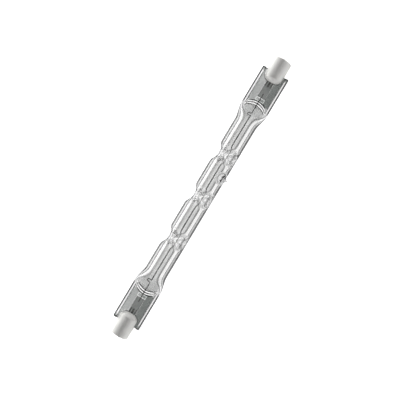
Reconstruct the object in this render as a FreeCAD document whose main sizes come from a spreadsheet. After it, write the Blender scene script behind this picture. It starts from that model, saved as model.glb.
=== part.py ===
"""A double-ended linear halogen lamp, as it comes to rest on a table.

Millimetres. X is the lamp's axis, Z is up, and the origin is in the middle of the lamp. Every piece
is drawn with the webs of the two pressed seals level, and rolled about X to how the lamp lies: on its
tube, turned to the heavier side of the exhaust tip until the lower rails of the seals are just clear
of the table.
"""

import FreeCAD, Part
import math
import os
import re

import Sketcher

SIDES = {"left": -1, "right": 1}

SIZES = {
    "lamp_length": (117.6, "over both ceramic ends"),
    "contact_depth": (1.7, "ceramic end to the face of the contact"),
    "tube_dia": (8.7, "outside of the quartz tube"),
    "tube_wall": (1.1, "wall of the quartz tube"),
    "neck_pitch": (17.8, "from one crimped neck to the next"),
    "crimp_depth": (1.4, "how far each of a neck's three crimps goes in"),
    "crimp_length": (6.8, "length of a crimp along the tube"),
    "throat_dia": (1.8, "bore left open in a neck"),
    "throat_length": (1.4, "straight part of that bore"),
    "throat_taper": (0.6, "bore's cone beyond each end of a crimp"),
    "seal_setback": (5.4, "ceramic end to the end of the quartz"),
    "web_length": (13.0, "free web, from the shoulder to the end of the quartz"),
    "web_height": (1.8, "thickness of the pressed web"),
    "rail_width": (1.35, "each rail, seen from above"),
    "rail_height": (4.6, "each rail, from top to underside"),
    "rail_round": (0.6, "rounding of the rails' long edges"),
    "rail_lap": (0.4, "rails past the ends of the shoulder's arc, towards the tube"),
    "rail_rest_gap": (0.3, "table to the lower rails, because the lamp lies on its tube"),
    "shoulder_bow": (1.8, "how far the shoulder's arc stands out along the lamp"),
    "flare_length": (7.1, "tube end that widens into the seal"),
    "flare_middle": (3.0, "shoulder to the flare's middle section"),
    "flare_gain": (0.8, "how much wider than the tube that section is"),
    "flare_drop": (1.0, "how much lower than the tube that section is"),
    "shoulder_inset": (0.15, "flare's side at the shoulder, inside the rails"),
    "shoulder_step": (0.6, "flare's crown at the shoulder, above the rails"),
    "bore_end_gap": (1.4, "shoulder's arc to the end of the bore"),
    "bore_end_length": (4.2, "rounded end of the bore"),
    "bore_end_round": (4.4, "radius of that rounding"),
    "tip_place": (9.8, "exhaust tip from the middle of the lamp"),
    "tip_angle": (135.0, "turn of the exhaust tip about the lamp, from +Y by way of +Z"),
    "tip_base_dia": (4.2, "foot of the exhaust tip"),
    "tip_sink": (0.7, "foot of the tip below the tube's surface"),
    "tip_rise": (3.0, "height of the tip above the tube"),
    "tip_end_dia": (1.0, "blunt end of the tip"),
    "tip_flank_round": (4.0, "radius of the tip's hollow flank"),
    "tip_bore_dia": (1.2, "closed bore inside the tip"),
    "tip_bore_rise": (0.9, "how far that bore goes above the tube"),
    "coil_dia": (0.55, "outside of the coiled filament"),
    "coil_end_gap": (4.0, "end of the filament to the end of the bore"),
    "inner_lead_dia": (0.35, "wire from the filament to the foil"),
    "hook_rise": (1.5, "height of the wire's hook beside the filament"),
    "hook_round": (0.5, "radius of the wire's bends"),
    "inner_weld": (1.8, "inner lead's overlap on the foil"),
    "foil_inset": (2.0, "end of the quartz to the end of the foil"),
    "foil_length": (8.6, "sealing foil along the lamp"),
    "foil_width": (2.9, "sealing foil across the lamp"),
    "foil_thickness": (0.05, "sealing foil"),
    "outer_lead_dia": (0.7, "rod from the foil to the contact"),
    "outer_weld": (3.6, "outer lead's overlap on the foil"),
    "ceramic_dia": (7.1, "round ceramic"),
    "rail_gap": (0.55, "between the ceramic and each rail"),
    "ceramic_barrel": (7.8, "cylindrical part of the ceramic"),
    "nose_length": (1.6, "rounded inner end of the ceramic"),
    "nose_lip": (0.55, "ceramic above and below the slot at the front of that nose"),
    "nose_round": (2.8, "radius of the nose's side"),
    "ceramic_edge": (0.3, "chamfer of the ceramic's outer edge"),
    "cement_gap": (0.15, "cement between the web and the ceramic"),
    "cement_floor": (0.3, "cement between the web's end and the ceramic"),
    "cement_inset": (0.4, "cement back from the ceramic's surface"),
    "recess_dia": (3.0, "recess in the ceramic's end"),
    "contact_dia": (2.6, "disc of the contact, in its seat at the bottom of the recess"),
    "contact_thick": (0.6, "disc of the contact"),
    "contact_edge": (0.1, "chamfer of the disc's front edge"),
    "boss_dia": (1.5, "boss on the contact's back"),
    "boss_length": (0.9, "boss on the contact's back"),
    "lead_socket": (0.6, "outer lead in the boss"),
    "bore_clearance": (0.1, "around the boss and the lead, on each side"),
}

DERIVED = {
    "tube_radius": ("tube_dia / 2", "outside of the tube"),
    "bore_radius": ("tube_radius - tube_wall", "inside of the tube"),
    "half_length": ("lamp_length / 2", "middle to the ceramic's end"),
    "seal_end": ("half_length - seal_setback", "middle to the end of the quartz"),
    "arc_place": ("seal_end - web_length", "middle to the crown of the shoulder's arc"),
    "shoulder": ("arc_place - shoulder_bow", "middle to the shoulder at the rails"),
    "flare_start": ("shoulder - flare_length", "middle to the start of the flare"),
    "web_half_width": ("ceramic_dia / 2 + rail_gap", "middle of the web to a rail"),
    "seal_half_width": ("web_half_width + rail_width", "middle of the web to a rail's outside"),
    "arc_radius": (
        "(web_half_width ^ 2 + shoulder_bow ^ 2) / (2 * shoulder_bow)",
        "shoulder's arc, seen from above",
    ),
    "crimp_radius": (
        "(crimp_length ^ 2 / 4 + crimp_depth ^ 2) / (2 * crimp_depth)",
        "each crimp, along the tube",
    ),
    "crimp_place": ("tube_radius - crimp_depth + crimp_radius", "axis to the crimp's centre"),
    "bore_end": ("arc_place - bore_end_gap", "middle to the end of the bore"),
    "foil_end": ("seal_end - foil_inset", "middle to the foil's outer end"),
    "foil_start": ("foil_end - foil_length", "middle to the foil's inner end"),
    "coil_end": ("bore_end - coil_end_gap", "middle to the end of the filament"),
    "hook_place": ("coil_end + inner_lead_dia / 2", "middle to the hook's inner leg"),
    "contact_face": ("half_length - contact_depth", "middle to the contact's face"),
    "contact_back": ("contact_face - contact_thick", "middle to the back of the disc"),
    "nose_root": ("half_length - ceramic_barrel", "middle to the start of the nose"),
    "slot_height": ("web_height + 2 * cement_gap", "slot in the ceramic"),
    "slot_end": ("seal_end + cement_floor", "middle to the bottom of that slot"),
    "nose_dia": ("slot_height + 2 * nose_lip", "flat front of the nose"),
    "cement_start": ("nose_root + cement_inset", "middle to the start of the cement"),
    "edge_across": ("seal_half_width - rail_round", "middle of the web to the centre of a rail's rounding"),
    "edge_up": ("rail_height / 2 - rail_round", "middle of the web up to that centre"),
    "rest_roll": (
        "(asin((tube_radius - rail_round - rail_rest_gap) / sqrt(edge_across ^ 2 + edge_up ^ 2))"
        " - atan(edge_up / edge_across)) / 1 deg",
        "degrees about the axis, until the lower rails are that gap above the table",
    ),
    "cement_width": (
        "sqrt(ceramic_dia ^ 2 - slot_height ^ 2) - 2 * cement_inset",
        "cement across the lamp",
    ),
}

doc = FreeCAD.newDocument("linear_halogen_lamp")
sheet = doc.addObject("Spreadsheet::Sheet", "sizes")


def fill_sheet():
    """Name, value and meaning of each size, one to a row: the driving ones first."""
    row = 0
    for alias, (value, meaning) in SIZES.items():
        row += 1
        sheet.set(f"A{row}", alias)
        sheet.set(f"B{row}", str(value))
        sheet.set(f"C{row}", meaning)
        sheet.setAlias(f"B{row}", alias)
    for alias, (formula, meaning) in DERIVED.items():
        row += 1
        sheet.set(f"A{row}", alias)
        sheet.set(f"B{row}", "=" + formula)
        sheet.set(f"C{row}", meaning)
        sheet.setAlias(f"B{row}", alias)
    doc.recompute()


def named(formula):
    """A formula in the sheet's words, written as other objects of the document refer to them."""
    return re.sub(
        "[a-z_]+",
        lambda word: f"sizes.{word[0]}" if word[0] in SIZES or word[0] in DERIVED else word[0],
        formula,
    )


def value_of(formula):
    """The number that a formula in the sheet's words stands for."""
    return float(sheet.evalExpression(named(formula)))


def bind(thing, **formulas):
    """Ties properties of an object to formulas; a double underscore stands for a dot."""
    for name, formula in formulas.items():
        thing.setExpression(name.replace("__", "."), named(formula))


def body(name):
    """A new piece about the lamp's axis, rolled to how the lamp rests."""
    made = doc.addObject("PartDesign::Body", name)
    made.Label = name
    made.Placement.Rotation = FreeCAD.Rotation(FreeCAD.Vector(1, 0, 0), value_of("rest_roll"))
    bind(made, Placement__Rotation__Angle="rest_roll")
    return made


def origin_plane(piece, role):
    """One of the piece's own three planes."""
    return next(f for f in piece.Origin.OriginFeatures if f.Role == role)


def sketch_on(piece, name, role, shift="0"):
    """An empty sketch on a plane of the piece, moved off it by shift."""
    drawn = piece.newObject("Sketcher::SketchObject", name)
    drawn.AttachmentSupport = [(origin_plane(piece, role), "")]
    drawn.MapMode = "FlatFace"
    bind(drawn, AttachmentOffset__Base__z=shift)
    return drawn


def centre_of(start, end, radius):
    """The centre of the shorter arc from start to end, which lies left of the way for a positive radius."""
    chord = end - start
    rise = math.sqrt(max(radius**2 - chord.Length**2 / 4, 0.0))
    left = FreeCAD.Vector(-chord.y, chord.x, 0).normalize()
    return (start + end) / 2 + left * math.copysign(rise, radius)


def add_side(drawn, start, end, radius):
    """One straight side, or an arc if it has a radius: positive for a left turn, negative for a right one.

    Returns its number, and which of its ends are start and end.
    """
    if radius is None:
        return drawn.addGeometry(Part.LineSegment(start, end)), 1, 2
    size = value_of(radius)
    centre = centre_of(start, end, size)
    first, last = (start, end) if size > 0 else (end, start)
    angles = [math.atan2(p.y - centre.y, p.x - centre.x) for p in (first, last)]
    if angles[1] < angles[0]:
        angles[1] += 2 * math.pi
    circle = Part.Circle(centre, FreeCAD.Vector(0, 0, 1), abs(size))
    number = drawn.addGeometry(Part.ArcOfCircle(circle, *angles))
    return (number, 1, 2) if size > 0 else (number, 2, 1)


def tie_point(drawn, number, end, across, up):
    """Ties one end of a side to a place given by two formulas."""
    for kind, axis, formula in (("DistanceX", -2, across), ("DistanceY", -1, up)):
        if formula == "0":
            drawn.addConstraint(Sketcher.Constraint("PointOnObject", number, end, axis))
            continue
        tied = drawn.addConstraint(
            Sketcher.Constraint(kind, -1, 1, number, end, value_of(formula))
        )
        drawn.setExpression(f"Constraints[{tied}]", named(formula))


def draw(drawn, corners, closed=True):
    """An outline through corners: each is (across, up), or (across, up, radius) if an arc leads to it."""
    points = [FreeCAD.Vector(value_of(c[0]), value_of(c[1]), 0) for c in corners]
    count = len(corners)
    sides = []
    for i in range(count if closed else count - 1):
        after = (i + 1) % count
        radius = corners[after][2] if len(corners[after]) > 2 else None
        number, first, last = add_side(drawn, points[i], points[after], radius)
        sides.append((number, first, last, radius))
    for (one, _, last, _), (two, first, _, _) in zip(sides, sides[1:]):
        drawn.addConstraint(Sketcher.Constraint("Coincident", one, last, two, first))
    if closed:
        one, two = sides[-1], sides[0]
        drawn.addConstraint(Sketcher.Constraint("Coincident", one[0], one[2], two[0], two[1]))
    for (number, first, _, _), corner in zip(sides, corners):
        tie_point(drawn, number, first, corner[0], corner[1])
    if not closed:
        tie_point(drawn, sides[-1][0], sides[-1][2], corners[-1][0], corners[-1][1])
    for number, _, _, radius in sides:
        if radius is not None:
            size = abs(value_of(radius))
            tied = drawn.addConstraint(Sketcher.Constraint("Radius", number, size))
            drawn.setExpression(f"Constraints[{tied}]", f"abs({named(radius)})")


def draw_circle(drawn, across, up, radius):
    """A circle at (across, up)."""
    centre = FreeCAD.Vector(value_of(across), value_of(up), 0)
    circle = Part.Circle(centre, FreeCAD.Vector(0, 0, 1), value_of(radius))
    number = drawn.addGeometry(circle)
    tie_point(drawn, number, 3, across, up)
    tied = drawn.addConstraint(Sketcher.Constraint("Radius", number, value_of(radius)))
    drawn.setExpression(f"Constraints[{tied}]", named(radius))


def draw_oval(drawn, width, height):
    """An ellipse about the middle of the sketch, wider than it is high."""
    middle = FreeCAD.Vector(0, 0, 0)
    side = FreeCAD.Vector(value_of(width) / 2, 0, 0)
    top = FreeCAD.Vector(0, value_of(height) / 2, 0)
    oval = drawn.addGeometry(Part.Ellipse(side, top, middle))
    drawn.exposeInternalGeometry(oval)
    major, minor = oval + 1, oval + 2
    drawn.addConstraint(Sketcher.Constraint("Coincident", oval, 3, -1, 1))
    drawn.addConstraint(Sketcher.Constraint("Horizontal", major))
    for axis, length in ((major, width), (minor, height)):
        tied = drawn.addConstraint(Sketcher.Constraint("Distance", axis, value_of(length)))
        drawn.setExpression(f"Constraints[{tied}]", named(length))


def turn(piece, kind, name, drawn, axis="H_Axis"):
    """A turned solid, or a turned cut, about an axis of its sketch."""
    made = piece.newObject(f"PartDesign::{kind}", name)
    made.Profile = drawn
    made.ReferenceAxis = (drawn, [axis])
    made.Angle = 360
    return made


def extrude(piece, kind, name, drawn, length, both_ways=False, backwards=False):
    """A solid or a cut of one section, as far as length says, and half of it each way for both_ways."""
    made = piece.newObject(f"PartDesign::{kind}", name)
    made.Profile = drawn
    made.Type = 0
    bind(made, Length=length)
    if both_ways:
        made.SideType = "Symmetric"
    made.Reversed = backwards
    return made


def across_lamp(side, near, far, half_width):
    """The corners of a rectangle on one side of the middle, from near to far along the lamp."""
    return [
        (f"{side} * ({near})", f"-({half_width})"),
        (f"{side} * ({far})", f"-({half_width})"),
        (f"{side} * ({far})", half_width),
        (f"{side} * ({near})", half_width),
    ]


def flare(quartz, side_name, side):
    """The tube's end: round where it leaves the tube, and wide and low at the shoulder."""
    sections = []
    for label, where, width, height in (
        ("round", "flare_start", None, None),
        ("middle", "shoulder - flare_middle", "tube_dia + flare_gain", "tube_dia - flare_drop"),
        (
            "shoulder",
            "shoulder",
            "2 * (seal_half_width - shoulder_inset)",
            "rail_height + 2 * shoulder_step",
        ),
    ):
        drawn = sketch_on(quartz, f"flare_{label}_{side_name}", "YZ_Plane", f"{side} * ({where})")
        if width:
            draw_oval(drawn, width, height)
        else:
            draw_circle(drawn, "0", "0", "tube_radius")
        sections.append(drawn)
    loft = quartz.newObject("PartDesign::AdditiveLoft", f"flare_{side_name}")
    loft.Profile = sections[0]
    loft.Sections = sections[1:]
    loft.Ruled = False


def seal(quartz, side_name, side):
    """A pressed seal: a block with rounded long edges, hollowed above and below down to the web.

    Seen from above, the hollow lies between the rails, and its inner end is the shoulder's arc.
    """
    half_width, half_height = "seal_half_width", "rail_height / 2"
    rail_start = "(shoulder - rail_lap)"
    section = sketch_on(quartz, f"seal_section_{side_name}", "YZ_Plane", f"{side} * {rail_start}")
    draw(
        section,
        [
            (f"{half_width} - rail_round", f"-{half_height}"),
            (half_width, f"-{half_height} + rail_round", "rail_round"),
            (half_width, f"{half_height} - rail_round"),
            (f"{half_width} - rail_round", half_height, "rail_round"),
            (f"-{half_width} + rail_round", half_height),
            (f"-{half_width}", f"{half_height} - rail_round", "rail_round"),
            (f"-{half_width}", f"-{half_height} + rail_round"),
            (f"-{half_width} + rail_round", f"-{half_height}", "rail_round"),
        ],
    )
    extrude(
        quartz, "Pad", f"seal_{side_name}", section, f"seal_end - {rail_start}", backwards=side < 0
    )
    for face, up in (("top", 1), ("bottom", -1)):
        hollow = sketch_on(
            quartz, f"web_{face}_{side_name}_outline", "XY_Plane", f"{up} * web_height / 2"
        )
        draw(
            hollow,
            [
                (f"{side} * shoulder", "-web_half_width", f"-{side} * arc_radius"),
                (f"{side} * slot_end", "-web_half_width"),
                (f"{side} * slot_end", "web_half_width"),
                (f"{side} * shoulder", "web_half_width"),
                (f"{side} * arc_place", "0", f"-{side} * arc_radius"),
            ],
        )
        name = f"web_{face}_{side_name}"
        extrude(quartz, "Pocket", name, hollow, "rail_height", backwards=up > 0)


def crimps(quartz):
    """Three necks. At each, three flat-faced crimps squeeze the tube, a third of a turn apart."""
    drawn = sketch_on(quartz, "crimp_outline", "XY_Plane")
    for step in (-1, 0, 1):
        draw_circle(drawn, f"{step} * neck_pitch" if step else "0", "crimp_place", "crimp_radius")
    squeezed = extrude(quartz, "Pocket", "crimp", drawn, "2 * tube_dia", both_ways=True)
    around = quartz.newObject("PartDesign::PolarPattern", "crimps_around")
    around.Originals = [squeezed]
    around.Axis = (drawn, ["H_Axis"])
    around.Angle = 360
    around.Occurrences = 3
    quartz.Tip = around


def bore(quartz):
    """The gas space: the tube's bore, drawn in to a throat at each neck and rounded off at both ends."""
    profile = [("-bore_end", "0"), ("-(bore_end - bore_end_length)", "bore_radius", "-bore_end_round")]
    for step in (-1, 0, 1):
        neck = f"{step} * neck_pitch"
        profile += [
            (f"{neck} - crimp_length / 2 - throat_taper", "bore_radius"),
            (f"{neck} - throat_length / 2", "throat_dia / 2"),
            (f"{neck} + throat_length / 2", "throat_dia / 2"),
            (f"{neck} + crimp_length / 2 + throat_taper", "bore_radius"),
        ]
    profile += [("bore_end - bore_end_length", "bore_radius"), ("bore_end", "0", "-bore_end_round")]
    drawn = sketch_on(quartz, "bore_outline", "XY_Plane")
    draw(drawn, profile)
    turn(quartz, "Groove", "bore", drawn)


def exhaust_tip(quartz):
    """The stub where the lamp was pumped out and sealed off, with a short closed bore inside it."""
    foot, end = "tube_radius - tip_sink", "tube_radius + tip_rise"
    for kind, name, outline in (
        (
            "Revolution",
            "exhaust_tip",
            [
                ("0", foot),
                ("tip_base_dia / 2", foot),
                ("tip_base_dia / 2", "tube_radius"),
                ("tip_end_dia / 2", end, "-tip_flank_round"),
                ("0", end),
            ],
        ),
        (
            "Groove",
            "exhaust_bore",
            [
                ("0", "bore_radius - tip_sink"),
                ("tip_bore_dia / 2", "bore_radius - tip_sink"),
                ("tip_bore_dia / 2", "tube_radius"),
                ("0", "tube_radius + tip_bore_rise"),
            ],
        ),
    ):
        drawn = sketch_on(quartz, name + "_outline", "XY_Plane")
        drawn.AttachmentOffset = FreeCAD.Placement(
            FreeCAD.Vector(), FreeCAD.Rotation(FreeCAD.Vector(1, 0, 0), value_of("tip_angle"))
        )
        bind(
            drawn,
            AttachmentOffset__Base__x="tip_place",
            AttachmentOffset__Rotation__Angle="tip_angle",
        )
        draw(drawn, outline)
        turn(quartz, kind, name, drawn, "V_Axis")


def fused_quartz():
    """The whole envelope before the metal parts are sealed in."""
    quartz = body("fused_quartz")
    drawn = sketch_on(quartz, "tube_outline", "XY_Plane")
    draw(
        drawn,
        [
            ("-flare_start", "0"),
            ("-flare_start", "tube_radius"),
            ("flare_start", "tube_radius"),
            ("flare_start", "0"),
        ],
    )
    turn(quartz, "Revolution", "tube", drawn)
    crimps(quartz)
    for side_name, side in SIDES.items():
        flare(quartz, side_name, side)
        seal(quartz, side_name, side)
    bore(quartz)
    exhaust_tip(quartz)
    return quartz


def filament():
    """The coiled filament, as the round bar that its turns fill."""
    coil = body("filament")
    section = sketch_on(coil, "coil_section", "YZ_Plane")
    draw_circle(section, "0", "0", "coil_dia / 2")
    extrude(coil, "Pad", "coil_bar", section, "2 * coil_end", both_ways=True)
    return coil


def inner_lead(side_name, side):
    """A wire hooked up beside the filament's end and down to it, flattened where it is welded on the foil."""
    lead = body(f"inner_lead_{side_name}")
    weld_end = "(foil_start + inner_weld)"
    outer_leg = "(hook_place + 2 * hook_round)"
    path = sketch_on(lead, f"lead_path_{side_name}", "XY_Plane")
    draw(
        path,
        [
            (f"{side} * {weld_end}", "0"),
            (f"{side} * ({outer_leg} + hook_round)", "0"),
            (f"{side} * {outer_leg}", "hook_round", f"-{side} * hook_round"),
            (f"{side} * {outer_leg}", "hook_rise - hook_round"),
            (f"{side} * (hook_place + hook_round)", "hook_rise", f"{side} * hook_round"),
            (f"{side} * hook_place", "hook_rise - hook_round", f"{side} * hook_round"),
            (f"{side} * hook_place", "-coil_dia / 2"),
        ],
        closed=False,
    )
    ring = sketch_on(lead, f"lead_section_{side_name}", "YZ_Plane", f"{side} * {weld_end}")
    draw_circle(ring, "0", "0", "inner_lead_dia / 2")
    wire = lead.newObject("PartDesign::AdditivePipe", f"lead_wire_{side_name}")
    wire.Profile = ring
    wire.Spine = path
    flat = sketch_on(lead, f"lead_flat_outline_{side_name}", "XY_Plane")
    draw(flat, across_lamp(side, "foil_start", f"{weld_end} + inner_lead_dia", "inner_lead_dia"))
    extrude(lead, "Pocket", f"lead_flat_{side_name}", flat, "inner_lead_dia")
    return lead


def foil(side_name, side):
    """The sealing foil, just under the middle plane of the web."""
    strip = body(f"foil_{side_name}")
    outline = sketch_on(strip, f"foil_outline_{side_name}", "XY_Plane")
    draw(outline, across_lamp(side, "foil_start", "foil_end", "foil_width / 2"))
    extrude(strip, "Pad", f"foil_strip_{side_name}", outline, "foil_thickness", backwards=True)
    return strip


def outer_lead(side_name, side):
    """A rod from the foil to the contact, flattened where it is welded on the foil."""
    start, end = "(foil_end - outer_weld)", "(contact_back - boss_length + lead_socket)"
    rod = body(f"outer_lead_{side_name}")
    section = sketch_on(rod, f"rod_section_{side_name}", "YZ_Plane", f"{side} * {start}")
    draw_circle(section, "0", "0", "outer_lead_dia / 2")
    extrude(rod, "Pad", f"rod_{side_name}", section, f"{end} - {start}", backwards=side < 0)
    flat = sketch_on(rod, f"rod_flat_outline_{side_name}", "XY_Plane")
    draw(flat, across_lamp(side, f"{start} - outer_lead_dia", "foil_end", "outer_lead_dia"))
    extrude(rod, "Pocket", f"rod_flat_{side_name}", flat, "outer_lead_dia")
    return rod


def ceramic(side_name, side):
    """The round ceramic: turned outside, a recess for the contact, and a slot over the seal's web."""
    cap = body(f"ceramic_{side_name}")
    outline = sketch_on(cap, f"ceramic_outline_{side_name}", "XY_Plane")
    outer, boss = "half_length", "contact_back - boss_length - bore_clearance"
    bore_radius, boss_radius = "outer_lead_dia / 2 + bore_clearance", "boss_dia / 2 + bore_clearance"
    draw(
        outline,
        [
            (f"{side} * (nose_root - nose_length)", bore_radius),
            (f"{side} * (nose_root - nose_length)", "nose_dia / 2"),
            (f"{side} * nose_root", "ceramic_dia / 2", f"-{side} * nose_round"),
            (f"{side} * ({outer} - ceramic_edge)", "ceramic_dia / 2"),
            (f"{side} * {outer}", "ceramic_dia / 2 - ceramic_edge"),
            (f"{side} * {outer}", "recess_dia / 2"),
            (f"{side} * contact_face", "recess_dia / 2"),
            (f"{side} * contact_face", "contact_dia / 2"),
            (f"{side} * contact_back", "contact_dia / 2"),
            (f"{side} * contact_back", boss_radius),
            (f"{side} * ({boss})", boss_radius),
            (f"{side} * ({boss})", bore_radius),
        ],
    )
    turn(cap, "Revolution", f"ceramic_turned_{side_name}", outline)
    slot = sketch_on(cap, f"slot_outline_{side_name}", "XZ_Plane")
    draw(
        slot,
        [
            (f"{side} * (nose_root - 2 * nose_length)", "-slot_height / 2"),
            (f"{side} * slot_end", "-slot_height / 2"),
            (f"{side} * slot_end", "slot_height / 2"),
            (f"{side} * (nose_root - 2 * nose_length)", "slot_height / 2"),
        ],
    )
    extrude(cap, "Pocket", f"slot_{side_name}", slot, "2 * ceramic_dia", both_ways=True)
    return cap


def cement(side_name, side):
    """Cement in the ceramic's slot: above, below and beyond the end of the web, around the outer lead."""
    layer = body(f"cement_{side_name}")
    outline = sketch_on(layer, f"cement_outline_{side_name}", "XZ_Plane")
    draw(
        outline,
        [
            (f"{side} * cement_start", "web_height / 2"),
            (f"{side} * cement_start", "slot_height / 2"),
            (f"{side} * slot_end", "slot_height / 2"),
            (f"{side} * slot_end", "-slot_height / 2"),
            (f"{side} * cement_start", "-slot_height / 2"),
            (f"{side} * cement_start", "-web_height / 2"),
            (f"{side} * seal_end", "-web_height / 2"),
            (f"{side} * seal_end", "web_height / 2"),
        ],
    )
    extrude(layer, "Pad", f"cement_layer_{side_name}", outline, "cement_width", both_ways=True)
    hole = sketch_on(layer, f"cement_hole_outline_{side_name}", "YZ_Plane", f"{side} * slot_end")
    draw_circle(hole, "0", "0", "outer_lead_dia / 2")
    extrude(
        layer, "Pocket", f"cement_hole_{side_name}", hole, "2 * cement_floor", backwards=side < 0
    )
    return layer


def contact(side_name, side):
    """The contact button: a disc in the recess, and a boss on its back that takes the outer lead."""
    button = body(f"contact_{side_name}")
    outline = sketch_on(button, f"contact_outline_{side_name}", "XY_Plane")
    boss_end = "(contact_back - boss_length)"
    socket = f"({boss_end} + lead_socket)"
    draw(
        outline,
        [
            (f"{side} * {socket}", "0"),
            (f"{side} * {socket}", "outer_lead_dia / 2"),
            (f"{side} * {boss_end}", "outer_lead_dia / 2"),
            (f"{side} * {boss_end}", "boss_dia / 2"),
            (f"{side} * contact_back", "boss_dia / 2"),
            (f"{side} * contact_back", "contact_dia / 2"),
            (f"{side} * (contact_face - contact_edge)", "contact_dia / 2"),
            (f"{side} * contact_face", "contact_dia / 2 - contact_edge"),
            (f"{side} * contact_face", "0"),
        ],
    )
    turn(button, "Revolution", f"contact_turned_{side_name}", outline)
    return button


def check(pieces):
    """Stops if any object failed or any piece has a null or broken shape."""
    failed = [o.Name for o in doc.Objects if {"Invalid", "Error"} & set(o.State)]
    if failed:
        raise RuntimeError(f"these objects failed: {failed}")
    for piece in pieces:
        if piece.Shape.isNull() or not piece.Shape.isValid() or len(piece.Shape.Solids) != 1:
            raise RuntimeError(f"{piece.Label} is not one sound solid")


def main():
    fill_sheet()
    quartz = fused_quartz()
    sealed_in, pieces = [], [filament()]
    for side_name, side in SIDES.items():
        metal = [inner_lead(side_name, side), foil(side_name, side), outer_lead(side_name, side)]
        sealed_in += metal
        pieces += metal
        pieces += [ceramic(side_name, side), cement(side_name, side), contact(side_name, side)]
    metal_parts = doc.addObject("Part::Compound", "sealed_in_metal")
    metal_parts.Links = sealed_in
    envelope = doc.addObject("Part::Cut", "quartz_envelope")
    envelope.Label = "quartz_envelope"
    envelope.Base = quartz
    envelope.Tool = metal_parts
    pieces.append(envelope)
    doc.recompute()
    check(pieces)
    os.makedirs("parts", exist_ok=True)
    for piece in pieces:
        piece.Shape.exportStep(f"parts/{piece.Label}.step")
        print(f"{piece.Label}: {piece.Shape.Volume:.3f} mm3")


main()
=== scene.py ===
"""A double-ended linear halogen lamp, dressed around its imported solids.

The frame is in metres. X runs along the lamp and Z is up. The shape functions work in millimetres.
"""

import math

import bmesh
import bpy
import numpy as np
from mathutils import Matrix, Vector


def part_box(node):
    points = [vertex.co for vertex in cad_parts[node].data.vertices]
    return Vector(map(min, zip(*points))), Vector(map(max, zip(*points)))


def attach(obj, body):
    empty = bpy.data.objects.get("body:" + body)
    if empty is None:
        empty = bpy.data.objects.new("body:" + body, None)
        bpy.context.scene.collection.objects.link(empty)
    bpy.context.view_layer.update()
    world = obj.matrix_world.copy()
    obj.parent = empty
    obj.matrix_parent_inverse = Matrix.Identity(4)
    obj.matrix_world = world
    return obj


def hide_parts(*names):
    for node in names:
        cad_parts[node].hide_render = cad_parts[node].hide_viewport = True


bl_info = {
    "name": "Linear halogen lamp",
    "version": (1, 0, 0),
    "blender": (4, 5, 0),
    "location": "View3D > Sidebar > Lamp",
    "description": "Builds a double-ended linear halogen lamp around its packed solids",
    "category": "Add Mesh",
}

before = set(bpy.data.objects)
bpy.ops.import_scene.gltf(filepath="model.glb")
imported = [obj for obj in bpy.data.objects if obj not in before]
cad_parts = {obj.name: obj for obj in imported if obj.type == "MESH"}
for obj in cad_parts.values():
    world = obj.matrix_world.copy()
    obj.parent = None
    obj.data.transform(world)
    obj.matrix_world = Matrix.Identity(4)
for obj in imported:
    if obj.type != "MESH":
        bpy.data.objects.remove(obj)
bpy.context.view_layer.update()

MM = 0.001
SIDES = {"left": -1, "right": 1}


def goes_to(node, end=1):
    """How far a solid of the frame goes along the lamp, in millimetres. end is 0 for its low side."""
    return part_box(node)[end][0] / MM


# Sizes and places in millimetres, and the exhaust tip's turn about the lamp in radians.
SEAL_END = goes_to("quartz_envelope")
COIL_END = goes_to("filament")
FOIL_START, FOIL_END = goes_to("foil_right", 0), goes_to("foil_right")
FOIL_HALF_WIDTH, WELD_START = 1.45, 47.3
TUBE_RADIUS = 4.35
NECK_PITCH = 17.8
TIP_PLACE, TIP_TURN = 9.8, math.radians(135.0)
FLARE_START, SHOULDER, ARC_PLACE, BORE_END = 31.5, 38.6, 40.4, 38.9
WEB_HALF_WIDTH = 4.1
SEAL_HALF_WIDTH, SEAL_HALF_HEIGHT, RAIL_ROUND = 5.45, 2.3, 0.6
# The lamp lies on its tube, rolled about its axis until its lower rails are this far above the table.
RAIL_REST_GAP = 0.3
EDGE_ACROSS, EDGE_UP = SEAL_HALF_WIDTH - RAIL_ROUND, SEAL_HALF_HEIGHT - RAIL_ROUND
EDGE_DROP = TUBE_RADIUS - RAIL_ROUND - RAIL_REST_GAP
REST_ROLL = math.asin(EDGE_DROP / math.hypot(EDGE_ACROSS, EDGE_UP)) - math.atan2(EDGE_UP, EDGE_ACROSS)
ROLL = Matrix.Rotation(REST_ROLL, 3, "X")
# The table's height in metres.
TABLE_HEIGHT = -TUBE_RADIUS * MM


def length_property(name, description, default_mm):
    """A length that a user may change."""
    return bpy.props.FloatProperty(
        name=name, description=description, default=default_mm * MM, min=0.0, unit="LENGTH", precision=5
    )


def colour_property(name, description, default):
    """A colour that a user may change."""
    return bpy.props.FloatVectorProperty(
        name=name, description=description, default=default, size=4, min=0.0, max=1.0, subtype="COLOR"
    )


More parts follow.
